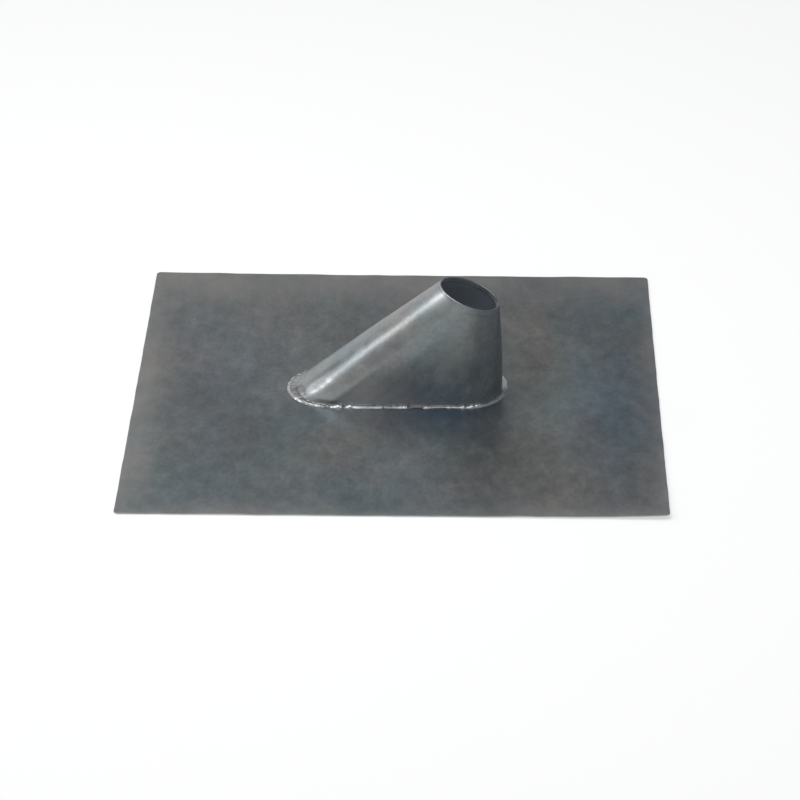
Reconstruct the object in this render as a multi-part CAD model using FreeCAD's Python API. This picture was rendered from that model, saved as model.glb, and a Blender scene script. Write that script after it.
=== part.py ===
import FreeCAD, Part
import math
import os

# Flashing tile for a mast on a pitched roof: a flat zinc base sheet with a long opening, and an
# oblique spout of rolled zinc sheet that is soldered over the opening.
# Millimetres, +Z up. The origin is the middle of the base sheet's underside. +X is the side of the
# sheet that lies up the roof, and the spout's mouth leans that way.

# Base sheet
sheet_width = 450.0  # along X
sheet_depth = 450.0  # along Y
sheet_thickness = 0.8
sheet_corner_radius = 4.0

# Foot of the spout, measured round the outside of its wall where it meets the base sheet
foot_length = 181.0
foot_width = 68.0
spout_thickness = 0.8
flange_width = 3.5  # out-turned edge that lies on the base sheet
opening_inset = 2.0  # from the outside of the spout's wall in to the edge of the sheet's opening

# Mouth of the spout
mouth_bore = 51.0  # inside the hem, so that a mast tube of 50 mm passes
mouth_reach = 62.0  # X of the middle of the rim
mouth_height = 92.0  # Z of the middle of the rim
mouth_tilt = 20.0  # degrees from upright, towards +X
hem_height = 4.0  # edge folded in and dressed square to the mouth, below its fold

# Lap that closes the rolled spout, on its steep side and turned to the back
lap_bearing = 30.0  # degrees round the foot from +X towards +Y, to the middle of the lap
lap_width = 10.0  # at the foot

# Solder
bead_reach = 1.5  # on the base sheet, past the edge of the flange
bead_crown = 0.5  # above the flange
bead_setback = 0.1  # from the outer face of the lap
seam_bead_width = 2.0  # on the wall, beside the cut edge of the lap
seam_bead_toe = 0.2  # thickness of that solder where it runs out
seam_bead_gap = 0.02  # left under it

bends_per_end = 16  # faces that follow one round end of the spout
foot_radius = foot_width / 2
end_center = foot_length / 2 - foot_radius  # of the foot's round ends, along X
sheet_top = sheet_thickness
flange_top = sheet_top + spout_thickness
bore_radius = mouth_bore / 2
hem_radius = bore_radius + spout_thickness
rim_radius = hem_radius + spout_thickness
fold_height = spout_thickness
fold_bevel = spout_thickness / 2  # rounding of the pressed fold, taken as a flat

tilt = math.radians(mouth_tilt)
mouth_axis = FreeCAD.Vector(math.sin(tilt), 0, math.cos(tilt))
mouth_across = FreeCAD.Vector(math.cos(tilt), 0, -math.sin(tilt))
fold_base = FreeCAD.Vector(mouth_reach, 0, mouth_height) - mouth_axis * fold_height
upright = FreeCAD.Vector(0, 0, 1)


def line(start, end):
    return Part.LineSegment(start, end).toShape()


def foot_point(center, bearing, radius, level):
    angle = math.radians(bearing)
    return FreeCAD.Vector(center + radius * math.cos(angle), radius * math.sin(angle), level)


def foot_arc(center, first, last, radius, level):
    bearings = (first, (first + last) / 2, last)
    return Part.Arc(*[foot_point(center, b, radius, level) for b in bearings]).toShape()


def mouth_point(bearing, radius):
    # On a circle round the mouth's axis, level with the start of the fold
    angle = math.radians(bearing)
    sideways = FreeCAD.Vector(0, radius * math.sin(angle), 0)
    return fold_base + mouth_across * (radius * math.cos(angle)) + sideways


def mouth_arc(first, last, radius):
    bearings = (first, (first + last) / 2, last)
    return Part.Arc(*[mouth_point(b, radius) for b in bearings]).toShape()


def mouth_bearing(center, bearing, radius, mouth_radius):
    # Rolled sheet is straight along lines where one flat plane touches both of its end curves.
    # The plane that touches the foot's round end at this bearing has the normal
    # (along, sideways, lean), and it touches the mouth's circle at the bearing returned.
    along = math.cos(math.radians(bearing))
    sideways = math.sin(math.radians(bearing))
    height = fold_base.z - sheet_top
    gap = radius + (center - fold_base.x) * along
    square = height ** 2 - (mouth_radius * math.sin(tilt)) ** 2
    half_linear = mouth_radius ** 2 * along * math.sin(tilt) * math.cos(tilt) - gap * height
    constant = gap ** 2 - mouth_radius ** 2 * (sideways ** 2 + (along * math.cos(tilt)) ** 2)
    lean = (-half_linear - math.sqrt(half_linear ** 2 - square * constant)) / square
    touch = math.degrees(math.atan2(sideways, along * math.cos(tilt) - lean * math.sin(tilt)))
    return bearing + (touch - bearing + 180) % 360 - 180


def stadium(radius, level):
    # Round-ended face, parallel to the foot
    right = foot_arc(end_center, -90, 90, radius, level)
    left = foot_arc(-end_center, 90, 270, radius, level)
    back = line(foot_point(end_center, 90, radius, level), foot_point(-end_center, 90, radius, level))
    front = line(foot_point(-end_center, 270, radius, level), foot_point(end_center, -90, radius, level))
    return Part.Face(Part.Wire([right, back, left, front]))


def base_sheet():
    corner = FreeCAD.Vector(-sheet_width / 2, -sheet_depth / 2, 0)
    sheet = Part.makeBox(sheet_width, sheet_depth, sheet_thickness, corner)
    upright_edges = [e for e in sheet.Edges if abs(e.tangentAt(e.FirstParameter).z) > 0.5]
    opening = stadium(foot_radius - opening_inset, 0).extrude(upright * sheet_thickness)
    return sheet.makeFillet(sheet_corner_radius, upright_edges).cut(opening)


def ridge_slope():
    # Angle of the long slanting side, from the tip of the foot up to the mouth
    top = mouth_point(180, rim_radius)
    return math.atan2(top.z - sheet_top, top.x + end_center + foot_radius)


def round_end(center, first, last, radius, mouth_radius):
    # Edges along the foot and along the mouth of one rolled end, in pairs
    step = (last - first) / bends_per_end
    foot_bearings = [first + step * i for i in range(bends_per_end + 1)]
    mouth_bearings = [mouth_bearing(center, b, radius, mouth_radius) for b in foot_bearings]
    foot = [
        foot_arc(center, start, end, radius, sheet_top)
        for start, end in zip(foot_bearings, foot_bearings[1:])
    ]
    mouth = [mouth_arc(start, end, mouth_radius) for start, end in zip(mouth_bearings, mouth_bearings[1:])]
    return foot, mouth


def hood(inset):
    # Solid from the foot up to the mouth, its skin lying inside the spout's outer face by inset.
    # Two flat triangles stand on the straight sides of the foot, with a rolled end on each side.
    # Along the slanting side a sheet of the same thickness takes more room at the foot.
    slant_room = inset / math.sin(ridge_slope()) - inset
    left_center = slant_room - end_center
    radius = foot_radius - inset
    mouth_radius = rim_radius - inset
    right_foot, right_mouth = round_end(end_center, -90, 90, radius, mouth_radius)
    left_foot, left_mouth = round_end(left_center, 90, 270, radius, mouth_radius)
    back = [foot_point(end_center, 90, radius, sheet_top), foot_point(left_center, 90, radius, sheet_top)]
    front = [foot_point(left_center, 270, radius, sheet_top), foot_point(end_center, -90, radius, sheet_top)]
    back_tip = mouth_point(mouth_bearing(end_center, 90, radius, mouth_radius), mouth_radius)
    front_tip = mouth_point(mouth_bearing(end_center, -90, radius, mouth_radius), mouth_radius)
    rolled = [Part.makeRuledSurface(*pair) for pair in zip(right_foot + left_foot, right_mouth + left_mouth)]
    flat = [
        Part.Face(Part.makePolygon(back + [back_tip, back[0]])),
        Part.Face(Part.makePolygon(front + [front_tip, front[0]])),
        Part.Face(Part.Wire(right_foot + [line(*back)] + left_foot + [line(*front)])),
        Part.Face(Part.Wire(right_mouth + left_mouth)),
    ]
    shell = Part.makeShell(rolled + flat)
    shell.sewShape()
    return Part.makeSolid(shell)


def flange_plate():
    return stadium(foot_radius + flange_width, sheet_top).extrude(upright * spout_thickness)


def hem():
    # Section of the folded edge and of the layer that hangs inside it, turned round the mouth's axis
    def at(radius, height):
        return fold_base + mouth_across * radius + mouth_axis * height

    section = [
        at(bore_radius, -hem_height),
        at(bore_radius, fold_height - fold_bevel),
        at(bore_radius + fold_bevel, fold_height),
        at(rim_radius - fold_bevel, fold_height),
        at(rim_radius, fold_height - fold_bevel),
        at(rim_radius, 0),
        at(hem_radius, 0),
        at(hem_radius, -hem_height),
        at(bore_radius, -hem_height),
    ]
    return Part.Face(Part.makePolygon(section)).revolve(fold_base, mouth_axis, 360)


def lap_bearings():
    half = math.degrees(lap_width / foot_radius) / 2
    return lap_bearing - half, lap_bearing + half


def seam_band(first, last, low, high_first, high_last):
    # Solid that runs up the wall from foot to mouth between two bearings of the foot.
    # low and high are heights above the wall's outer face.
    def outline(point, bearings, radius):
        start, end = bearings
        middle = (start + end) / 2
        inside = [point(b, radius + low) for b in (start, middle, end)]
        high_middle = (high_first + high_last) / 2
        outside = [
            point(end, radius + high_last),
            point(middle, radius + high_middle),
            point(start, radius + high_first),
        ]
        return Part.Wire([
            Part.Arc(*inside).toShape(),
            line(inside[-1], outside[0]),
            Part.Arc(*outside).toShape(),
            line(outside[-1], inside[0]),
        ])

    def at_foot(bearing, radius):
        return foot_point(end_center, bearing, radius, sheet_top)

    at_mouth = [mouth_bearing(end_center, b, foot_radius, rim_radius) for b in (first, last)]
    outlines = [outline(at_foot, (first, last), foot_radius), outline(mouth_point, at_mouth, rim_radius)]
    return Part.makeLoft(outlines, True, True)


def spout():
    # The lap is a second thickness of sheet, sunk half way into the wall that it closes
    first, last = lap_bearings()
    lap = seam_band(first, last, -spout_thickness / 2, spout_thickness, spout_thickness)
    wall = hood(0).fuse([flange_plate(), lap]).cut(hood(spout_thickness))
    return wall.fuse(hem()).removeSplitter()


def foot_solder():
    # Crowned bead over the flange and down to the base sheet, carried once round the foot
    def at(out, level):
        return FreeCAD.Vector(end_center, -foot_radius - out, level)

    root = spout_thickness + bead_setback
    toe = flange_width + bead_reach
    crown = Part.Arc(at(root, flange_top), at((root + toe) / 2, flange_top + bead_crown), at(toe, sheet_top))
    section = [
        crown.toShape(),
        line(at(toe, sheet_top), at(flange_width, sheet_top)),
        line(at(flange_width, sheet_top), at(flange_width, flange_top)),
        line(at(flange_width, flange_top), at(root, flange_top)),
    ]
    profile = Part.Face(Part.Wire(section))
    right_end = profile.revolve(FreeCAD.Vector(end_center, 0, 0), upright, 180)
    front_run = profile.extrude(FreeCAD.Vector(-2 * end_center, 0, 0))
    half = right_end.fuse(front_run)
    other_half = half.copy()
    other_half.rotate(FreeCAD.Vector(0, 0, 0), upright, 180)
    return half.fuse(other_half).removeSplitter()


def seam_solder():
    # Fillet beside the cut edge of the lap, from the flange up to the mouth
    start = lap_bearings()[1] + math.degrees(seam_bead_gap / foot_radius)
    end = start + math.degrees(seam_bead_width / foot_radius)
    fillet = seam_band(start, end, seam_bead_gap, spout_thickness, seam_bead_toe)
    return fillet.cut(flange_plate())


os.makedirs("parts", exist_ok=True)
base_sheet().exportStep("parts/base_sheet.step")
spout().exportStep("parts/spout.step")
foot_solder().exportStep("parts/foot_solder.step")
seam_solder().exportStep("parts/seam_solder.step")
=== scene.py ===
import math
import bpy
import numpy as np
from mathutils import Matrix, Vector


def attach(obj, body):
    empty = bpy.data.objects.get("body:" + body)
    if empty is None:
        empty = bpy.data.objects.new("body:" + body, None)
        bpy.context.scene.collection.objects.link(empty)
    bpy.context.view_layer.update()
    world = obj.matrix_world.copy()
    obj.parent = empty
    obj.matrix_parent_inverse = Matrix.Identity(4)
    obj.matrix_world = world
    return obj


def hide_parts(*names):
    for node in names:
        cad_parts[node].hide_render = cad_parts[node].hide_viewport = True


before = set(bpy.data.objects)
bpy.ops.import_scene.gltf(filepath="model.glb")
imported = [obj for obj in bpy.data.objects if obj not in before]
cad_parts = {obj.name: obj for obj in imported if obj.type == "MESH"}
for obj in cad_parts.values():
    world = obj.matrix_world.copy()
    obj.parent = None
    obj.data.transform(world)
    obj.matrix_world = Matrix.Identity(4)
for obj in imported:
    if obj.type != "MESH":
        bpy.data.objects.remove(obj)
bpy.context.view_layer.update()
print("frame loaded, nodes:", sorted(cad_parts))

# Everything below is worked out in millimetres, and meshFromGrid turns it into metres.
mm = 0.001


def meshFromGrid(name, grid, uvGrid=None, attributes=None):
    # A closed band of quads: grid[column, row] is a point, and both directions run round into themselves.
    columns, rows = grid.shape[:2]
    index = np.arange(columns * rows).reshape(columns, rows)
    nextColumn = np.roll(index, -1, axis=0)
    nextRow = np.roll(index, -1, axis=1)
    both = np.roll(nextColumn, -1, axis=1)
    quads = np.stack([index, nextColumn, both, nextRow], axis=-1).reshape(-1, 4)
    mesh = bpy.data.meshes.new(name)
    mesh.vertices.add(columns * rows)
    mesh.vertices.foreach_set("co", (grid.reshape(-1, 3) * mm).astype(np.float32).ravel())
    mesh.loops.add(quads.size)
    mesh.loops.foreach_set("vertex_index", quads.ravel().astype(np.int32))
    mesh.polygons.add(len(quads))
    mesh.polygons.foreach_set("loop_start", np.arange(0, quads.size, 4, dtype=np.int32))
    mesh.update(calc_edges=True)
    if uvGrid is not None:
        # one column and one row more than the points have, so that the map doesn't fold back at the joins
        corner = np.stack([uvGrid[:-1, :-1], uvGrid[1:, :-1], uvGrid[1:, 1:], uvGrid[:-1, 1:]], axis=2)
        layer = mesh.uv_layers.new(name="sheetMap")
        layer.data.foreach_set("uv", corner.reshape(-1, 2).astype(np.float32).ravel())
    for key, values in (attributes or {}).items():
        layer = mesh.attributes.new(key, "FLOAT", "POINT")
        values = np.broadcast_to(values, (columns, rows))
        layer.data.foreach_set("value", values.astype(np.float32).ravel())
    mesh.polygons.foreach_set("use_smooth", np.ones(len(quads), dtype=bool))
    piece = bpy.data.objects.new(name, mesh)
    bpy.context.scene.collection.objects.link(piece)
    return piece


def ripple(x, y, terms):
    # Sum of sine waves, each amplitude * sin(2 pi (x / lengthX + y / lengthY) + phase)
    amplitude, lengthX, lengthY, phase = np.array(terms).T
    turn = x[..., None] / lengthX + y[..., None] / lengthY
    return (amplitude * np.sin(2 * np.pi * turn + phase)).sum(axis=-1)


def ease(x, low, high):
    # 0 below low, 1 above high, and a smooth S between them
    t = np.clip((x - low) / (high - low), 0, 1)
    return t * t * (3 - 2 * t)


def hump(away, half, power=2):
    # 1 where away is 0, and less on both sides: e ^ -((away / half) ^ power)
    return np.exp(-(away / half) ** power)


# The two outlines that the spout runs between
foot = dict(length=181.0, width=68.0, level=0.8)
mouth = dict(reach=62.0, height=92.0, tilt=20.0, bore=51.0)
gauge = dict(sheet=0.8, spout=0.8)
# how much of the wall follows the true lines of rolled sheet, and how many waves round the foot they keep
rolled = dict(share=0.8, waves=11, steps=2048)

footRadius = foot["width"] / 2
endCenter = foot["length"] / 2 - footRadius
footArc = math.pi * footRadius
footSide = 2 * endCenter
footStops = np.cumsum([0, footArc / 2, footSide, footArc, footSide, footArc / 2])
footLoop = 2 * footArc + 2 * footSide
tilt = math.radians(mouth["tilt"])
boreRadius = mouth["bore"] / 2
rimRadius = boreRadius + 2 * gauge["spout"]
mouthAxis = np.array([math.sin(tilt), 0, math.cos(tilt)])
mouthAcross = np.array([math.cos(tilt), 0, -math.sin(tilt)])
foldBase = np.array([mouth["reach"], 0, mouth["height"]]) - mouthAxis * gauge["spout"]


def footStation(run):
    # run is the way round the foot from its right tip. A station is a point on the middle line and a
    # bearing: the bearing turns round the two ends, and the middle point slides along the two sides.
    bearing = np.interp(run % footLoop, footStops, np.radians([0, 90, 90, 270, 270, 360]))
    center = np.interp(run % footLoop, footStops, np.array([1, 1, -1, -1, 1, 1]) * endCenter)
    return center, bearing


def footPoint(run, out, level):
    # The foot's outline moved outwards by out, at a level
    center, bearing = footStation(run)
    x = center + (footRadius + out) * np.cos(bearing)
    y = (footRadius + out) * np.sin(bearing)
    return np.stack(np.broadcast_arrays(x, y, level), axis=-1)


def loopAway(run, at):
    # Distance along the foot, the short way round
    return (run - at + footLoop / 2) % footLoop - footLoop / 2


def mouthTurns():
    # Rolled sheet is straight where one plane touches both outlines, which gives the bearing on the mouth
    # for each place on the foot: the plane's lean is the smaller root of a quadratic. Some of an even share
    # is mixed in and the corners are eased, as hand rolling does.
    run = np.linspace(0, footLoop, rolled["steps"], endpoint=False)
    center, bearing = footStation(run)
    along, sideways = np.cos(bearing), np.sin(bearing)
    height = foldBase[2] - foot["level"]
    gap = footRadius + (center - foldBase[0]) * along
    square = height ** 2 - (rimRadius * math.sin(tilt)) ** 2
    halfLinear = rimRadius ** 2 * along * math.sin(tilt) * math.cos(tilt) - gap * height
    constant = gap ** 2 - rimRadius ** 2 * (sideways ** 2 + (along * math.cos(tilt)) ** 2)
    lean = (-halfLinear - np.sqrt(halfLinear ** 2 - square * constant)) / square
    touch = np.unwrap(np.arctan2(sideways, along * math.cos(tilt) - lean * math.sin(tilt)))
    even = 2 * np.pi * run / footLoop
    count = np.fft.rfftfreq(len(run), d=1 / len(run))
    eased = np.fft.irfft(np.fft.rfft(touch - even) * hump(count, rolled["waves"]), len(run))
    turn = even + rolled["share"] * eased
    return np.append(run, footLoop), np.append(turn, turn[0] + 2 * np.pi)


turnTable = mouthTurns()


def mouthPoint(run, radius, height):
    # A point round the mouth's axis, height above the start of the fold
    turn = np.interp(run % footLoop, *turnTable)
    across = (radius * np.cos(turn))[..., None] * mouthAcross
    sideways = (radius * np.sin(turn))[..., None] * np.array([0, 1, 0])
    up = np.asarray(height, float)[..., None] * mouthAxis
    return foldBase + across + sideways + up


def wallPoint(run, rise, out):
    # Straight line from the foot (rise 0) to the mouth (rise 1), moved outwards by out
    low = footPoint(run, out, foot["level"])
    high = mouthPoint(run, rimRadius + out, 0.0)
    return low + (high - low) * np.asarray(rise)[..., None]


# How the wall swells out from its straight lines, in millimetres
wallForm = dict(
    bulge=0.4, rightBulge=0.8,
    sideBulge=2.0, sidePeak=81.6,            # on the two long sides, most at this way from the right tip
    backBulge=1.3, backTurn=(135.0, 55.0),   # low on the back of the slope: bearing and spread
    rimRoll=0.28, rollPlace=(0.966, 0.014),  # under the folded rim: share of the way up, and half width
    rollGap=(246.0, 14.0, 0.8),              # less of it here: place along the foot, half length, how much
    # dents all over, and finer ones low down: height, and the waves as ripple takes them
    dents=0.28, dentWaves=[(0.5, 74, 130, 0.6), (0.3, -46, 58, 2.0), (0.25, 31, -90, 4.1)],
    lowDents=0.09, lowWaves=[(0.6, 9.5, 21, 0.4), (0.4, -15, 12, 1.7)],
    # hammer marks and one broad swell: place along the foot, share of the way up, half sizes, height
    marks=[(254.5, 0.12, 7, 0.09, 0.8), (240, 0.12, 6, 0.08, -0.4), (247, 0.088, 3, 0.016, 0.16),
           (247.5, 0.138, 3, 0.016, 0.16), (248, 0.19, 3, 0.016, 0.14), (300, 0.45, 18, 0.28, 0.5)],
)


def wallFace(run, rise, out):
    # The wall as rolled by hand: an even bulge, more of it on the two sides, on the steep end and low on
    # the back of the slope, a roll under the rim, hammer marks as round humps, and waves in x, y and z
    w = wallForm
    x, y, z = np.moveaxis(wallPoint(run, rise, 0.0), -1, 0)
    center, bearing = footStation(run)
    fromTip = np.abs(loopAway(run, 0.0))
    reach = np.where(fromTip < w["sidePeak"], w["sidePeak"], footLoop / 2 - w["sidePeak"])
    side = np.cos((fromTip - w["sidePeak"]) / reach * np.pi / 2) ** 2
    turn, spread = w["backTurn"]
    back = hump(np.degrees(bearing) - turn, spread)
    steep = np.clip(np.cos(bearing), 0, 1) ** 2 * (center > 0)
    dents = ripple(x + 0.6 * y, z - 0.4 * y, w["dentWaves"])
    low = ripple(x + y, z - y, w["lowWaves"])
    swell = (w["bulge"] + w["sideBulge"] * side + w["rightBulge"] * steep) * 4 * rise * (1 - rise)
    swell = swell + w["backBulge"] * back * (1 - rise) * ease(rise, 0.0, 0.15)
    swell = swell + w["dents"] * dents * ease(rise, 0.02, 0.3) * ease(1 - rise, 0.0, 0.25)
    swell = swell + w["lowDents"] * low * ease(rise, 0.03, 0.10) * ease(1 - rise, 0.68, 0.85)
    at, half, less = w["rollGap"]
    high, width = w["rollPlace"]
    roll = w["rimRoll"] * (1 - less * hump(loopAway(run, at), half))
    swell = swell + roll * hump(rise - high, width)
    for at, high, halfRun, halfRise, height in w["marks"]:
        swell = swell + height * hump(loopAway(run, at), halfRun) * hump(rise - high, halfRise)
    return wallPoint(run, rise, swell + out)


# Base sheet
baseSheet = dict(
    width=450.0, depth=450.0, cornerRadius=4.0, openingInset=2.0, edgeRound=0.22,
    columnsPerSide=130, rowsAcross=52, edgeRows=5,
    supportOuter=0.9, supportInner=0.7,  # rows this close to the edges keep the roundings small
    cornerLift=1.5, liftPower=1.4,       # two opposite corners stand off the floor by this much
    cornerCurl=2.0, curlReach=60.0,      # front right corner, bent up
    # slow waves in the sheet, ripples along its sheared edge and their reach, and waves of the cut itself
    waviness=0.25, slowWaves=[(0.5, 260, 900, 0.4), (0.3, -700, 190, 2.1), (0.2, 150, 170, 4.0)],
    edgeRipple=0.5, edgeReach=14.0,
    edgeWaves=[(0.5, 83, 71, 0.9), (0.3, -47, 55, 3.0), (0.2, 29, -33, 5.1)],
    edgeCut=0.45, cutWaves=[(0.5, 61, 78, 2.2), (0.3, -37, 44, 0.3), (0.2, 23, -27, 1.4)],
    flatRange=(14.0, 120.0),  # flat up to the first way from the foot, free to wave from the second
    rubReach=3.0,             # worn edge
    # painted reflection and shade of the spout, dark blue, on the sheet round the foot: strength, reach,
    # how much of it is all round, and for the rest its middle and half length and where it starts and ends
    # towards the front
    reflectionStrength=0.76, reflectionReach=60.0, reflectionRound=0.1,
    reflectionMiddle=33.0, reflectionLength=52.0, reflectionFront=(-30.0, 40.0),
    # lighter margins on the left, far, front and right side: how strong, and how far they reach in
    margins=[(1.0, 20.0), (0.95, 55.0), (0.65, 16.0), (0.5, 14.0)],
    # bands of brown (over 0) and blue (under 0): middle and half width, middle and half depth, strength
    bands=[(112, 34, 0, 170, 1.0), (184, 34, -30, 150, -1.0), (-172, 34, 45, 90, -0.5),
           (-70, 45, 95, 80, 0.5), (172, 28, -112, 42, -0.8), (128, 26, 75, 70, 0.5),
           (-85, 75, -120, 36, 0.5)],
)


def sheetOutline(s):
    # Square with round corners: the four quarter circles and the sides between them, as x and y
    halfWidth, halfDepth, radius = s["width"] / 2, s["depth"] / 2, s["cornerRadius"]
    side = np.linspace(-1, 1, s["columnsPerSide"])
    quarter = np.radians(np.linspace(0, 90, 9))[1:-1]
    x, y = [], []
    for turn, (reach, spread) in enumerate([(halfWidth, halfDepth), (halfDepth, halfWidth)] * 2):
        along = np.concatenate([side * (spread - radius), spread - radius + radius * np.sin(quarter)])
        out = np.concatenate([np.full(len(side), reach), reach - radius + radius * np.cos(quarter)])
        angle = turn * math.pi / 2
        x.append(out * math.cos(angle) - along * math.sin(angle))
        y.append(out * math.sin(angle) + along * math.cos(angle))
    return np.concatenate(x), np.concatenate(y)


def openingReach(angle, s):
    # How far a ray from the middle goes to the round-ended opening: to a straight side, or to an end circle
    radius = footRadius - s["openingInset"]
    along, up = np.abs(np.cos(angle)), np.abs(np.sin(angle))
    toSide = radius / np.maximum(up, 1e-9)
    toEnd = endCenter * along + np.sqrt(np.maximum(radius ** 2 - (endCenter * up) ** 2, 0))
    return np.where(toSide * along <= endCenter, toSide, toEnd)


def footAway(x, y):
    # Distance on the sheet from the foot's outline, under 0 inside it
    return np.hypot(np.maximum(np.abs(x) - endCenter, 0), y) - footRadius


def sheetLift(x, y, s):
    # Twist that lifts two corners, one corner curled up, ripples along the sheared edge and slow waves,
    # all of them fading out towards the spout. Never below the floor.
    halfWidth, halfDepth = s["width"] / 2, s["depth"] / 2
    twist = np.maximum(0, -x * y / (halfWidth * halfDepth)) ** s["liftPower"] * s["cornerLift"]
    fromCorner = np.hypot(x - halfWidth, y + halfDepth)
    curl = np.clip(1 - fromCorner / s["curlReach"], 0, 1) ** 2 * s["cornerCurl"]
    fromEdge = np.maximum(np.minimum(halfWidth - np.abs(x), halfDepth - np.abs(y)), 0)
    shear = s["edgeRipple"] * (1 + ripple(x, y, s["edgeWaves"])) / 2 * np.exp(-fromEdge / s["edgeReach"])
    waves = s["waviness"] * (1 + ripple(x, y, s["slowWaves"])) / 2
    return ease(footAway(x, y), *s["flatRange"]) * (twist + curl + shear + waves)


def makeBaseSheet(s):
    # Rays from the middle of the sheet: on each ray the rows go from the outer edge in over the top, down
    # the edge of the opening, and back out underneath.
    x, y = sheetOutline(s)
    angle = np.arctan2(y, x)
    outer = (np.hypot(x, y) - s["edgeCut"] * (1 + ripple(x, y, s["cutWaves"])) / 2)[:, None]
    inner = openingReach(angle, s)[:, None]
    bend = np.radians(np.linspace(0, 90, s["edgeRows"]))
    r, top = s["edgeRound"], gauge["sheet"]
    between = np.linspace(1, 0, s["rowsAcross"])[1:-1]
    # each group of rows: share of the way out, millimetres past that, level
    groups = [
        (1, -r + r * np.cos(bend), top - r + r * np.sin(bend)),
        (1, [-s["supportOuter"]], top),
        (between, 0, top),
        (0, [s["supportInner"]], top),
        (0, r - r * np.sin(bend), top - r + r * np.cos(bend)),
        (0, r - r * np.cos(bend), r - r * np.sin(bend)),
        (0, [s["supportInner"]], 0),
        (between[::-2], 0, 0),
        (1, [-s["supportOuter"]], 0),
        (1, -r + r * np.sin(bend), r - r * np.cos(bend)),
    ]
    rows = np.concatenate([np.array(np.broadcast_arrays(*group), float) for group in groups], axis=1)
    share, past, level = rows[:, None, :]
    reach = inner + (outer - inner) * share + past
    px, py = reach * np.cos(angle)[:, None], reach * np.sin(angle)[:, None]
    pz = level + sheetLift(px, py, s)

    rub = np.exp(-(outer - reach) / s["rubReach"])
    halfWidth, halfDepth = s["width"] / 2, s["depth"] / 2
    fromSides = [px + halfWidth, halfDepth - py, py + halfDepth, halfWidth - px]
    margins = [gain * hump(away, wide) for away, (gain, wide) in zip(fromSides, s["margins"])]
    margin = np.max(margins, axis=0)
    # painted reflection and shade of the spout on the sheet, most in front of its right half
    front = ease(-py, *s["reflectionFront"]) * hump(px - s["reflectionMiddle"], s["reflectionLength"])
    paintedReflection = s["reflectionStrength"] * hump(np.maximum(footAway(px, py), 0), s["reflectionReach"])
    paintedReflection = paintedReflection * (s["reflectionRound"] + (1 - s["reflectionRound"]) * front)
    bands = np.zeros(px.shape)
    for middleX, halfX, middleY, halfY, gain in s["bands"]:
        bands = bands + gain * hump(px - middleX, halfX) * hump(py - middleY, halfY)
    weights = {"edgeRub": rub, "margin": margin, "paintedReflection": paintedReflection, "bands": bands}
    return meshFromGrid("baseSheet", np.stack([px, py, pz], axis=-1), attributes=weights)


# Spout: flange, wall, folded rim and the inside, as one sheet
spoutShape = dict(
    flangeWidth=3.5, edgeRound=0.2, hemHeight=4.0,
    lapBearing=30.0, lapWidth=10.0, lapStep=0.08,  # the lap's edge rises within twice its step
    columnsRound=88, columnsAlong=44, rowsUp=64,
    tipInset=0.5,  # the inside lies this much deeper at the low tip, where the wall leans most
    # wall wiped clean and given painted highlights: middle and half length along the foot, middle and half
    # height as shares of the way up, strength
    wipedAndHighlight=[(296, 45, 0.0, 0.2, 1.0), (258, 9, 0.07, 0.07, 0.9), (246, 15, 0.98, 0.08, 1.0),
           (246, 7, 0.085, 0.022, 0.9), (247, 5, 0.138, 0.015, 1.0), (248, 6, 0.19, 0.018, 0.9)],
    # painted shade: a painted shadow in the gap just above the solder, painted shade in the crease by the
    # low tip, and a darker patch that dims the highlight beside the ridge: the same five for each
    paintedShade=[(266, 11, 0.036, 0.014, 1.0), (243, 7, 0.032, 0.026, 0.7), (238, 7, 0.27, 0.13, 0.42)],
    # rim: painted glints at its two ends and painted shade on its far side, each with bearing, spread and
    # strength
    rimPaintedGlint=[(218, 30, 1.0), (350, 28, 0.35)], rimPaintedShade=(48.0, 38.0, 0.7),
    rimWear=(0.1, 0.22), hemWear=(0.75, 0.4, 0.1),  # least and more on the fold, and down the hem's rows
)


def lapRuns(s):
    # Where the lap starts and ends along the foot
    middle = math.radians(s["lapBearing"]) * footRadius
    return middle - s["lapWidth"] / 2, middle + s["lapWidth"] / 2


def footRuns(s):
    # Columns of the spout: close together round the ends, wider along the sides, doubled at the lap's edges
    ends, sides = s["columnsRound"], s["columnsAlong"]
    counts = np.cumsum([0, ends // 2, sides, ends, sides, ends // 2])
    runs = np.interp(np.arange(counts[-1]), counts, footStops)
    lapEdges = np.add.outer(lapRuns(s), [-s["lapStep"], s["lapStep"]]).ravel()
    return np.unique(np.concatenate([runs, lapEdges]))


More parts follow.
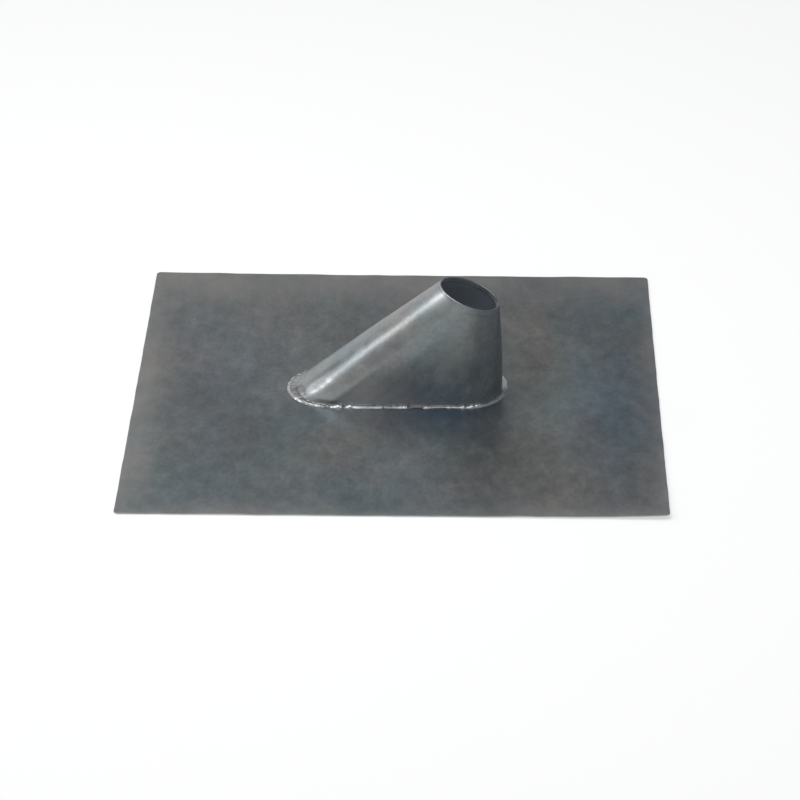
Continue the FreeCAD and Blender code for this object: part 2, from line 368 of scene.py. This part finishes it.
def makeSpout(s):
    # Each column's rows: the flange from its outer edge in, the wall up to the mouth, the half round fold,
    # the hem down inside it and up behind it, the inside of the wall down, and the flange's underside out
    run = footRuns(s)[:, None]
    _, bearing = footStation(run)
    degrees = np.degrees(bearing)
    first, last = lapRuns(s)
    step = s["lapStep"]
    onLap = ease(run, first - step, first + step) * ease(-run, -last - step, -last + step)
    thick, level, hem = gauge["spout"], foot["level"], s["hemHeight"]
    width, r = s["flangeWidth"], s["edgeRound"]
    flangeTop = level + thick

    quarter = np.radians(np.linspace(0, 90, 4))[None, :]
    edge = footPoint(run, width - r + r * np.cos(quarter), flangeTop - r + r * np.sin(quarter))
    flange = footPoint(run, np.array([[width - 0.6, width * 0.6, width * 0.3]]), flangeTop)
    rise = np.append(0.005, np.linspace(0.014, 0.985, s["rowsUp"]))[None, :]
    wall = wallFace(run, rise, onLap * thick * ease(1 - rise, 0.0, 0.03))
    nearRim = wallFace(run, np.array([[0.993, 0.998]]), 0.0)
    bend = np.radians(np.linspace(0, 180, 13))[None, :]
    fold = mouthPoint(run, boreRadius + thick + thick * np.cos(bend), thick * np.sin(bend))
    hemDown = mouthPoint(run, boreRadius, -hem * np.array([[0.25, 0.6, 0.9]]))
    lipRadius = boreRadius + thick - thick * np.cos(quarter)
    hemLip = mouthPoint(run, lipRadius, -hem + thick - thick * np.sin(quarter))
    fall = np.linspace(0.93, 0.004, s["rowsUp"] // 2)[None, :]
    deeper = s["tipInset"] * np.clip(-np.cos(bearing), 0, 1) * (1 - fall)
    inside = wallFace(run, fall, -thick - deeper)
    underOut = np.array([[-thick * 0.4, width * 0.5, width - 0.3, width]])
    under = footPoint(run, underOut, level + np.array([[0, 0, 0, 0.15]]))
    parts = [edge, flange, wall, nearRim, fold, hemDown, hemLip, inside, under]
    grid = np.concatenate(parts, axis=1)

    # flat map of the sheet: the way round the foot, and the mean way up and over the rows
    steps = np.linalg.norm(np.diff(grid, axis=1, append=grid[:, :1]), axis=2)
    up = np.append(0, np.cumsum(steps, axis=1).mean(axis=0)) * mm
    along = np.append(run[:, 0], footLoop) * mm
    uvGrid = np.stack(np.meshgrid(along, up, indexing="ij"), axis=-1)

    counts = [part.shape[1] for part in parts]
    stops = np.cumsum([0] + counts)
    onWall = slice(stops[2], stops[3])
    onFold = slice(stops[4], stops[5])
    onHem = slice(stops[5], stops[6])
    paintedGlint = 0
    for turn, spread, gain in s["rimPaintedGlint"]:
        paintedGlint = paintedGlint + gain * hump((degrees - turn + 180) % 360 - 180, spread)  # the short way round
    dull = np.repeat([0, 0, 0, 0, 0, 1, 1, 1, 1], counts)  # from the hem on
    # worn most on the steep side
    least, more = s["rimWear"]
    rim = np.repeat([0, 0, 0, 0.1, 1, 0, 0, 0, 0], counts)
    rim = rim * (least + more * np.clip(np.cos(bearing - 0.6) + 0.35, 0, 1))
    rim[:, onHem] = np.array(s["hemWear"]) * np.clip(2.2 * np.cos(bearing + 0.15) - 1.1, 0, 1)
    # wiped places with painted highlights, and painted shade, as weights on the wall's rows
    zones = {}
    for key, power in [("wipedAndHighlight", 2), ("paintedShade", 4)]:
        zones[key] = np.zeros(grid.shape[:2])
        for middle, half, high, halfHigh, strength in s[key]:
            zone = strength * hump(loopAway(run, middle), half, power) * hump(rise - high, halfHigh)
            zones[key][:, onWall] = np.maximum(zones[key][:, onWall], zone)
    # painted glints on the fold at the rim's two ends
    zones["wipedAndHighlight"][:, onFold] = paintedGlint
    # painted shade on the fold and the hem on the far side
    turn, spread, gain = s["rimPaintedShade"]
    for rows in (onFold, onHem):
        zones["paintedShade"][:, rows] = gain * hump(degrees - turn, spread)
    return meshFromGrid("rolledSpout", grid, uvGrid, {"edgeRub": rim, "inside": dull, **zones})


# Solder round the foot
footSolder = dict(
    rootOut=0.9, toeOut=5.0, crownHeight=0.65, columns=1300,
    noseWidth=3.4,                     # its back is flat and rounds down to the sheet over this width
    toeWander=0.3, backWander=0.1,     # unevenness of its toe and of its back
    tipTurn=(180.0, 60.0),             # bearing and spread of the low tip of the spout
    tipHeight=0.9, tipClimb=9.0,       # more solder at the tip, and a film up the wall there
    filmThickness=0.14, filmLumps=0.06,
    tipWall=150.0, steepWall=90.0,     # rough lengths of the wall, to turn millimetres into shares
    tuck=0.35,                         # how deep it goes on, hidden in the wall
    strokeCount=120, strokeGap=(3.4, 6.2), strokeHeight=0.35, strokePush=0.25,  # touches of the iron
    ropeStep=7.0, ropeHeight=0.32, ropePush=0.25,  # lumps one after the other round the low tip
    # drops and heavy strokes: place along the foot, half length, height, how far they push the toe out
    drops=[(5, 2.0, 0.6, 0.3), (13, 2.6, 0.8, 0.6), (22, 3.0, 0.6, 0.3), (21, 10, 0.9, 3.4),
           (250.7, 2.2, 0.5, 0.3), (260, 8, 0.5, 0.3), (271.4, 2.0, 0.7, 0.3), (280.0, 2.4, 0.8, 0.2),
           (290.4, 2.2, 0.8, 0.2), (338.9, 2.0, 0.5, 0.6), (387.0, 1.8, 0.7, 0.3), (394.5, 2.2, 0.7, 0.5),
           (398.5, 2.0, 0.8, 0.2), (401.5, 1.6, 0.8, 0.0)],
    lean=[(346.3, 6.4), (285.2, 1.3)], leanPull=0.8,  # short of solder: middle, half length; toe pulled in
    slim=[(375, 45, 1.3), (238, 34, 1.0)],            # drawn out thinner: middle, half length, how much
    # frosted end of the run, places still bright, and places dull with flux: middle, half length, how much
    frosted=[(14, 15, 1.0)],
    fresh=[(204, 14, 0.4), (280, 3, 0.3), (290, 2.6, 0.3), (397.5, 5.5, 0.7)],
    dulled=[(436, 5, 0.8), (318.5, 20, 0.9), (268.5, 4, 0.9), (364, 12, 0.6), (381, 4, 0.6)],
    # open crease beside the wall: middle, half length, depth, width, share of flux stain in it
    crease=[(263, 12, 0.9, 1.5, 1.0), (372, 34, 0.3, 0.9, 1.0), (222, 34, 0.8, 1.1, 0.6),
            (4, 8, 0.4, 2.2, 0.0), (20, 9, 1.6, 3.4, 0.0)],
)


def beadNoise(run, counts, seed):
    # Mean of sine waves with whole counts round the foot, so that the bead closes
    phase = np.random.default_rng(seed).uniform(0, 2 * np.pi, len(counts))
    turn = 2 * np.pi * run[..., None] / footLoop * np.array(counts) + phase
    return np.sin(turn).mean(axis=-1)


def beadStrokes(run, s, seed):
    # Touches of the iron: round humps at uneven distances, each with its own height
    chance = np.random.default_rng(seed)
    gaps = chance.uniform(*s["strokeGap"], s["strokeCount"])
    at = np.cumsum(gaps)
    at = at[at < footLoop - 2]
    tall = chance.uniform(-0.3, 1.0, len(at))
    half = chance.uniform(0.8, 1.6, len(at))
    return (tall * hump(loopAway(run[..., None], at), half)).sum(axis=-1)


def makeFootSolder(s):
    # Section carried round the foot: from the toe up a rounded nose, height * (1 - (way out / nose) ^
    # power), over a flat back to the wall, as a thin film a little way up it, then hidden down inside the
    # wall and under the bead
    run = np.linspace(0, footLoop, s["columns"], endpoint=False)[:, None]
    _, bearing = footStation(run)
    degrees = np.degrees(bearing)
    level, thick, root = foot["level"], gauge["spout"], s["rootOut"]
    turn, spread = s["tipTurn"]
    tip = hump(degrees - turn, spread, 4)
    at, half, dropHeight, dropPush = np.array(s["drops"]).T
    drops = hump(loopAway(run[..., None], at), half)
    short = sum(hump(loopAway(run, middle), reach, 4) for middle, reach in s["lean"])
    slim = sum(less * hump(loopAway(run, middle), reach) for middle, reach, less in s["slim"])
    creases = [deep * hump(loopAway(run, middle), reach, 4) for middle, reach, deep, _, _ in s["crease"]]
    strokes = beadStrokes(run, s, 8)
    rope = tip * (0.3 + 0.9 * ease(-degrees, -190, -150))  # most at the back
    rope = rope * np.sin(2 * np.pi * run / s["ropeStep"] + 2.2 * beadNoise(run, [5, 13, 22], 4))
    toe = s["toeOut"] + s["toeWander"] * beadNoise(run, [9, 17, 29, 52], 11)
    toe = toe + s["strokePush"] * strokes + s["ropePush"] * rope
    toe = toe + drops @ dropPush - s["leanPull"] * short - slim
    tall = s["crownHeight"] + s["strokeHeight"] * strokes * (0.5 + 0.4 * tip) + s["ropeHeight"] * rope
    tall = tall + drops @ dropHeight + s["tipHeight"] * tip + 0.2 * slim
    height = thick + np.maximum(tall * (1 - short), -0.3)
    nose = s["noseWidth"] + (toe - root - s["noseWidth"]) * np.clip(0.9 * tip, 0, 0.9)

    share = np.linspace(0, 1, 21)[None, :]
    out = toe + (root - toe) * share
    down = np.clip((out - toe + nose) / nose, 0, 1)
    back = s["backWander"] * beadNoise(run + 9 * share, [37, 58, 83], 31) * share * (1 - down)
    gaps = [crease * hump(out - root, line[3]) for crease, line in zip(creases, s["crease"])]
    crown = height * (1 - down ** (2.2 - 0.9 * tip))
    onSheet = footPoint(run, out, level + crown + back - sum(gaps))
    climb = s["tipClimb"] / s["tipWall"] * tip * (1 + 0.5 * beadNoise(run, [11, 19, 27], 17))
    climb = 0.004 + climb * ease(-degrees, -235, -205)  # hardly any in front
    share = np.linspace(0, 1, 13)[None, 1:]
    lumps = beadNoise(run + 60 * share * tip, [61, 97, 139], 23)
    film = tip * (s["filmThickness"] + s["filmLumps"] * lumps) * (1 - share ** 3)
    film = film - 0.05 * (1 - tip) - 0.06 * share ** 6  # its edge dips into the wall
    start = (height - sum(creases) - 0.1) / s["steepWall"]
    onWall = wallFace(run, start + climb * share, film)
    hidden = wallFace(run, start + climb * np.array([[0.9, 0.1]]), -s["tuck"])
    below = footPoint(run, np.array([[1.0, 3.0]]), level + 0.4)
    grid = np.concatenate([onSheet, onWall, hidden, below], axis=1)

    flux = sum(gap * line[4] for gap, line in zip(gaps, s["crease"]))
    frosted, fresh, dulled = (
        sum(gain * hump(loopAway(run, middle), reach, 4) for middle, reach, gain in s[key])
        for key in ("frosted", "fresh", "dulled"))
    stain = np.ones(grid.shape[:2])
    stain[:, :onSheet.shape[1]] = np.clip(np.maximum(flux * 1.2 - 0.2, dulled), 0, 1)
    weights = {"stain": stain, "fresh": fresh, "frosted": frosted}
    return meshFromGrid("footSolder", grid, attributes=weights)


# Solder along the lap of the spout
seamSolder = dict(
    width=2.0, toe=0.2, gap=0.02, setback=0.1, rows=220, unevenness=0.25,
    fill=0.96, sink=0.25,  # how nearly it fills the step of the lap, and how deep it goes on in the wall
)


def makeSeamSolder(s, lap):
    # Fillet beside the lap's cut edge: thick at the edge, running out on the wall, carried up a straight
    # line of the wall, with its height and width as sums of sine waves up the wall
    start = lapRuns(lap)[1] + s["setback"]
    rise = np.linspace(0.02, 0.985, s["rows"])[:, None]
    across = np.linspace(0, 1, 7)[None, :]
    waves = np.sin(rise * 150) + 0.6 * np.sin(rise * 67 + 1.2) + 0.5 * np.sin(rise * 260 + 3)
    beads = 1 + s["unevenness"] * waves / 2
    ends = ease(rise, 0.02, 0.03) * ease(1 - rise, 0.015, 0.03)
    width = s["width"] * (0.85 + 0.2 * np.sin(rise * 41 + 2)) * (0.3 + 0.7 * ends)
    fillet = gauge["spout"] * (1 - across) ** 1.4 + s["toe"] * across * (1 - across)
    top = wallFace(start + across * width, rise, s["gap"] + fillet * beads * ends * s["fill"])
    low = wallFace(start + across[:, ::-1] * width, rise, -s["sink"])
    return meshFromGrid("seamSolder", np.concatenate([top, low], axis=1)[::-1])


sheetPiece = makeBaseSheet(baseSheet)
spoutPiece = makeSpout(spoutShape)
footPiece = makeFootSolder(footSolder)
seamPiece = makeSeamSolder(seamSolder, spoutShape)
for piece, node, slot in [(sheetPiece, "base_sheet", "zinc_sheet"),
                          (spoutPiece, "spout", "zinc_sheet"),
                          (footPiece, "foot_solder", "tin_solder"),
                          (seamPiece, "seam_solder", "tin_solder")]:
    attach(piece, "root")
    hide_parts(node)
print("pieces made")


# Materials
def setInputs(tree, node, inputs):
    # A socket is linked, and any other value is set on the node's own socket
    for key, value in inputs.items():
        if isinstance(value, bpy.types.NodeSocket):
            tree.links.new(value, node.inputs[key])
        else:
            node.inputs[key].default_value = value


def addNode(tree, kind, inputs=None, **settings):
    node = tree.nodes.new(kind)
    for key, value in settings.items():
        setattr(node, key, value)
    setInputs(tree, node, inputs or {})
    return node


def newMaterial(name):
    material = bpy.data.materials.new(name)
    material.use_nodes = True
    return material, material.node_tree, material.node_tree.nodes["Principled BSDF"]


def ramp(tree, factor, stops):
    node = addNode(tree, "ShaderNodeValToRGB", {"Fac": factor})
    elements = node.color_ramp.elements
    while len(elements) < len(stops):
        elements.new(0.5)
    for element, (place, colour) in zip(elements, stops):
        element.position = place
        element.color = (*colour, 1)
    return node.outputs["Color"]


def blend(tree, kind, factor, first, second):
    inputs = {0: factor, 6: first, 7: second}
    return addNode(tree, "ShaderNodeMix", inputs, data_type="RGBA", blend_type=kind).outputs[2]


def between(tree, factor, first, second):
    return addNode(tree, "ShaderNodeMix", {0: factor, 2: first, 3: second}).outputs[0]


def combine(tree, kind, first, second):
    return addNode(tree, "ShaderNodeMath", {0: first, 1: second}, operation=kind).outputs[0]


def remap(tree, value, low, high, toLow, toHigh):
    inputs = {"Value": value, "From Min": low, "From Max": high, "To Min": toLow, "To Max": toHigh}
    return addNode(tree, "ShaderNodeMapRange", inputs).outputs["Result"]


def noise(tree, place, scale, detail=2.0, rough=0.5, distortion=0.0):
    inputs = {"Vector": place, "Scale": scale, "Detail": detail, "Roughness": rough,
              "Distortion": distortion}
    return addNode(tree, "ShaderNodeTexNoise", inputs).outputs["Fac"]


def stretched(tree, place, scale, turn=(0, 0, 0)):
    inputs = {"Vector": place, "Scale": scale, "Rotation": turn}
    return addNode(tree, "ShaderNodeMapping", inputs).outputs["Vector"]


def painted(tree, key):
    # A weight that the mesh carries at its points
    return addNode(tree, "ShaderNodeAttribute", attribute_name=key).outputs["Fac"]


def bumped(tree, height, strength, distance):
    inputs = {"Height": height, "Strength": strength, "Distance": distance}
    return addNode(tree, "ShaderNodeBump", inputs).outputs["Normal"]


zincFinish = dict(
    dark=(0.315, 0.345, 0.36), light=(0.46, 0.47, 0.47), rubbed=(0.60, 0.62, 0.62),
    # the dark blue is the colour of the spout's painted reflection on the sheet
    inside=(0.23, 0.26, 0.30), margin=(0.76, 0.725, 0.68), paintedReflection=(0.12, 0.20, 0.31),
    # colour of the wiped places with painted highlights, and of the painted shade
    wipedAndHighlight=(0.69, 0.705, 0.73), paintedShade=(0.07, 0.065, 0.075),
    blueBand=(0.83, 0.91, 1.01), brownBand=(1.13, 1.03, 0.94),
    # noise of each layer: scale, detail, roughness, distortion
    patchNoise=(10.0, 4, 0.55, 0.4), bloomNoise=(12, 3, 0.5, 0.3), castNoise=(15, 3, 0.5, 0.3),
    cloudNoise=(34, 3, 0.55, 0.3), mottleNoise=(95, 3, 0.55, 0.2), grainNoise=(300, 2, 0.6),
    streakNoise=(1.0, 3, 0.6), wearNoise=(60, 3),
    clouds=0.07, mottle=0.10, grain=0.09, streak=0.02, tint=0.075,  # how strong each layer is
    bloomTurn=(0.3, 0.2, 0.8), castTurn=(1.1, 0.7, 0.4), cloudTurn=(0.5, 0.9, 0.2),  # to keep them apart
    rolling=0.62,  # patches are longer the way the sheet was rolled
    streakOnMap=(320, 9, 1), streakOnSheet=(260, 7, 1),  # streaks: how often across and along
    # wiped places with painted highlights and painted shade on the rolled sheet, the spout's painted
    # reflection and the
    # lighter margins on the flat sheet: how solid where the bloom is weak, and where it is strong
    mapWipedHighlightsAndShade=[("wipedAndHighlight", 0.5, 1.0), ("paintedShade", 0.8, 1.0)],
    sheetReflectionAndMargins=[("paintedReflection", 0.7, 1.0), ("margin", 0.3, 0.8)],
    roughness=(0.32, 0.40), insideRoughness=0.6, insideMetal=0.35,  # oxide inside, not bare metal
    bump=(0.03, 0.0004),
)


def around(spread):
    # Two greys, the same step below and above 1
    return [(0.3, (1 - spread,) * 3), (0.7, (1 + spread,) * 3)]


def zincMaterial(name, f, onMap):
    # Grey zinc: cloudy patches with a faint teal and brown bloom, mottled and grained, rolling streaks,
    # wiped places with painted highlights, painted shade, the spout's painted reflection, lighter margins
    # and light worn edges
    material, tree, shader = newMaterial(name)
    source = addNode(tree, "ShaderNodeTexCoord")
    place = source.outputs["Object"]
    if onMap:
        along = stretched(tree, source.outputs["UV"], f["streakOnMap"])
    else:
        along = stretched(tree, place, f["streakOnSheet"])
        place = stretched(tree, place, (1, f["rolling"], 1))
    patches = noise(tree, place, *f["patchNoise"])
    bloom = noise(tree, stretched(tree, place, (1, 1, 1), f["bloomTurn"]), *f["bloomNoise"])
    cast = noise(tree, stretched(tree, place, (1, 1, 1), f["castTurn"]), *f["castNoise"])
    clouds = noise(tree, stretched(tree, place, (1, 1, 1), f["cloudTurn"]), *f["cloudNoise"])
    streaks = noise(tree, along, *f["streakNoise"])
    mottle = noise(tree, place, *f["mottleNoise"])
    grain = noise(tree, place, *f["grainNoise"])
    t = f["tint"]
    tone = ramp(tree, patches, [(0.3, f["dark"]), (0.7, f["light"])])
    warm = [(0.3, (1 - t, 1 + t * 0.4, 1 + t)), (0.5, (1, 1, 1)), (0.7, (1 + t, 1, 1 - t))]
    green = [(0.3, (1 - t * 0.6, 1 + t * 0.4, 1 + t * 0.2)), (0.5, (1, 1, 1)),
             (0.7, (1 + t * 0.6, 1 - t * 0.2, 1 - t * 0.4))]
    layers = [(bloom, warm), (cast, green), (streaks, around(f["streak"])),
              (clouds, around(f["clouds"])), (mottle, around(f["mottle"])),
              (grain, around(f["grain"]))]
    if not onMap:
        hues = [(0.0, f["blueBand"]), (0.5, (1, 1, 1)), (1.0, f["brownBand"])]
        layers.append((remap(tree, painted(tree, "bands"), -1.0, 1.0, 0.0, 1.0), hues))
    for layer, stops in layers:
        tone = blend(tree, "MULTIPLY", 1.0, tone, ramp(tree, layer, stops))
    rough = remap(tree, combine(tree, "ADD", patches, mottle), 0.7, 1.3, *f["roughness"])
    metal = 1.0
    if onMap:
        dull = painted(tree, "inside")
        tone = blend(tree, "MIX", dull, tone, (*f["inside"], 1))
        rough = between(tree, dull, rough, f["insideRoughness"])
        metal = remap(tree, dull, 0.0, 1.0, 1.0, f["insideMetal"])
    # wiped places with painted highlights, painted shade, the spout's painted reflection and the lighter
    # margins, each by its weight
    for key, low, high in f["mapWipedHighlightsAndShade"] if onMap else f["sheetReflectionAndMargins"]:
        share = combine(tree, "MULTIPLY", painted(tree, key), remap(tree, bloom, 0.3, 0.7, low, high))
        tone = blend(tree, "MIX", share, tone, (*f[key], 1))
    wear = remap(tree, noise(tree, place, *f["wearNoise"]), 0.35, 0.65, 0.3, 0.9)
    worn = combine(tree, "MULTIPLY", painted(tree, "edgeRub"), wear)
    tone = blend(tree, "MIX", worn, tone, (*f["rubbed"], 1))
    normal = bumped(tree, combine(tree, "ADD", streaks, grain), *f["bump"])
    setInputs(tree, shader, {"Base Color": tone, "Roughness": rough, "Metallic": metal, "Normal": normal})
    return material


solderFinish = dict(
    dark=(0.40, 0.41, 0.43), light=(0.66, 0.67, 0.69), stained=(0.19, 0.195, 0.20),
    stainedLight=(0.48, 0.485, 0.49), fresh=(0.86, 0.86, 0.87), frosted=(0.90, 0.92, 0.91),
    stainNoise=(110, 4, 0.6, 0.5), fluxNoise=(200, 3, 0.6), fineNoise=(700, 3, 0.6),
    roughness=(0.26, 0.40), stainedRoughness=0.42, freshRoughness=0.22,
    frostedRoughness=0.34, frostedMetal=0.1, bump=(0.06, 0.0003),
)


def solderMaterial(name, f):
    # Tin solder: bright where it ran smooth, dull grey flux stain between, frosted where it cooled last
    material, tree, shader = newMaterial(name)
    place = addNode(tree, "ShaderNodeTexCoord").outputs["Object"]
    stain = noise(tree, place, *f["stainNoise"])
    flux, fresh, frosted = (painted(tree, key) for key in ("stain", "fresh", "frosted"))
    tone = ramp(tree, stain, [(0.35, f["dark"]), (0.6, f["light"])])
    mottled = noise(tree, place, *f["fluxNoise"])
    fluxTone = ramp(tree, mottled, [(0.35, f["stained"]), (0.65, f["stainedLight"])])
    tone = blend(tree, "MIX", flux, tone, fluxTone)
    tone = blend(tree, "MIX", fresh, tone, (*f["fresh"], 1))
    tone = blend(tree, "MIX", frosted, tone, (*f["frosted"], 1))
    smooth, coarse = f["roughness"]
    rough = remap(tree, stain, 0.3, 0.7, coarse, smooth)
    rough = between(tree, flux, rough, f["stainedRoughness"])
    rough = between(tree, fresh, rough, f["freshRoughness"])
    rough = between(tree, frosted, rough, f["frostedRoughness"])
    metal = remap(tree, frosted, 0.0, 1.0, 1.0, f["frostedMetal"])
    normal = bumped(tree, noise(tree, place, *f["fineNoise"]), *f["bump"])
    setInputs(tree, shader, {"Base Color": tone, "Roughness": rough, "Metallic": metal, "Normal": normal})
    return material


zincSheet = zincMaterial("zincSheet", zincFinish, False)
zincRolled = zincMaterial("zincRolled", zincFinish, True)
tinSolder = solderMaterial("tinSolder", solderFinish)
for piece, material in [(sheetPiece, zincSheet), (spoutPiece, zincRolled),
                        (footPiece, tinSolder), (seamPiece, tinSolder)]:
    piece.data.materials.append(material)
print("materials made")


# Floor, light and camera
studio = dict(
    # the floor glows a little, like a light table, and lies just under the sheet
    floorSize=40.0, floorColour=(0.88, 0.88, 0.88), floorGlow=0.5, floorRoughness=0.9, floorDrop=0.0002,
    # brightness from left to right, warm on the left
    sky=[(0.0, (0.47, 0.47, 0.465)), (0.2, (0.39, 0.388, 0.383)), (0.44, (0.262, 0.266, 0.27)),
         (0.5, (0.208, 0.216, 0.226)), (0.54, (0.152, 0.163, 0.178)), (0.66, (0.182, 0.19, 0.2)),
         (1.0, (0.178, 0.186, 0.197))],
    # soft glow in the room: the way it lies, where it starts and ends (cosines), brightness
    glows=[((-0.10, -0.92, -0.36), 0.70, 1.0, 0.21), ((-0.50, 0.85, -0.05), 0.75, 1.0, 0.42),
           ((-0.25, -0.96, 0.14), 0.80, 1.0, 0.11), ((0.62, -0.75, 0.22), 0.50, 1.0, 0.06)],
    keyBearing=-74.0, keyHeight=33.8, keyDistance=6.0, keySize=(0.94, 2.25), keyRadiance=4.15,
    keyTarget=(0.0, 0.0, 0.045),  # middle of the spout
    topSize=(1.6, 1.4), topPlace=(-0.3, -0.05, 1.8), topTarget=(0, 0, 0), topRadiance=1.5,
)


def makeFloor(s):
    half = s["floorSize"] / 2
    corners = [(-half, -half, 0), (half, -half, 0), (half, half, 0), (-half, half, 0)]
    mesh = bpy.data.meshes.new("floor")
    mesh.from_pydata(corners, [], [(0, 1, 2, 3)])
    floor = bpy.data.objects.new("floor", mesh)
    floor.location.z = -s["floorDrop"]
    bpy.context.scene.collection.objects.link(floor)
    material, tree, shader = newMaterial("floorPale")
    setInputs(tree, shader, {"Base Color": (*s["floorColour"], 1), "Roughness": s["floorRoughness"],
                             "Specular IOR Level": 0.0, "Emission Color": (1, 1, 1, 1),
                             "Emission Strength": s["floorGlow"]})
    mesh.materials.append(material)
    floor.visible_glossy = False  # the metal mirrors the room, not the white floor


def addSoftbox(name, place, target, size, radiance):
    # A rectangle light: its power is pi * area * radiance
    light = bpy.data.lights.new(name, "AREA")
    light.shape = "RECTANGLE"
    light.size, light.size_y = size
    light.energy = math.pi * size[0] * size[1] * radiance
    box = bpy.data.objects.new(name, light)
    box.location = place
    box.rotation_euler = (Vector(target) - Vector(place)).to_track_quat("-Z", "Y").to_euler()
    bpy.context.scene.collection.objects.link(box)


def bearingPlace(bearing, height, distance, center):
    # bearing from +Y towards +X and height above the floor, both in degrees
    b, h = math.radians(bearing), math.radians(height)
    way = Vector((math.sin(b) * math.cos(h), math.cos(b) * math.cos(h), math.sin(h)))
    return Vector(center) + distance * way


def makeLight(s):
    # The room: brightness by the way to the left or right, plus each glow by the cosine of the angle to it
    world = bpy.data.worlds.new("studio")
    world.use_nodes = True
    tree = world.node_tree
    toward = addNode(tree, "ShaderNodeTexCoord").outputs["Generated"]
    sideways = addNode(tree, "ShaderNodeSeparateXYZ", {"Vector": toward}).outputs["X"]
    shade = ramp(tree, remap(tree, sideways, -1.0, 1.0, 0.0, 1.0), s["sky"])
    for way, start, end, bright in s["glows"]:
        aim = {0: toward, 1: tuple(Vector(way).normalized())}
        near = addNode(tree, "ShaderNodeVectorMath", aim, operation="DOT_PRODUCT").outputs["Value"]
        fade = {"Value": near, "From Min": start, "From Max": end, "To Max": bright}
        soft = addNode(tree, "ShaderNodeMapRange", fade, interpolation_type="SMOOTHSTEP").outputs["Result"]
        shade = blend(tree, "ADD", 1.0, shade, soft)
    setInputs(tree, tree.nodes["Background"], {"Color": shade})
    bpy.context.scene.world = world
    place = bearingPlace(s["keyBearing"], s["keyHeight"], s["keyDistance"], s["keyTarget"])
    addSoftbox("keySoftbox", place, s["keyTarget"], s["keySize"], s["keyRadiance"])
    addSoftbox("topSoftbox", s["topPlace"], s["topTarget"], s["topSize"], s["topRadiance"])


cameraView = dict(elevation=27.49, yaw=-1.12, distance=3.090, target=(0.003, -0.0215, 0.0005),
                  lens=162.27, sensor=36.0)


def makeCamera(c):
    # Looks at the target from a height angle and a turn about the upright
    high, yaw = math.radians(c["elevation"]), math.radians(c["yaw"])
    forward = Vector((math.sin(yaw) * math.cos(high), math.cos(yaw) * math.cos(high), -math.sin(high)))
    right = Vector((math.cos(yaw), -math.sin(yaw), 0))
    up = right.cross(forward)
    data = bpy.data.cameras.new("camera")
    data.lens, data.sensor_width = c["lens"], c["sensor"]
    camera = bpy.data.objects.new("camera", data)
    turn = Matrix((right, up, -forward)).transposed().to_4x4()
    camera.matrix_world = Matrix.Translation(Vector(c["target"]) - forward * c["distance"]) @ turn
    bpy.context.scene.collection.objects.link(camera)
    bpy.context.scene.camera = camera


makeFloor(studio)
makeLight(studio)
makeCamera(cameraView)
bpy.context.scene.view_settings.view_transform = "Standard"
print("floor, light and camera made")
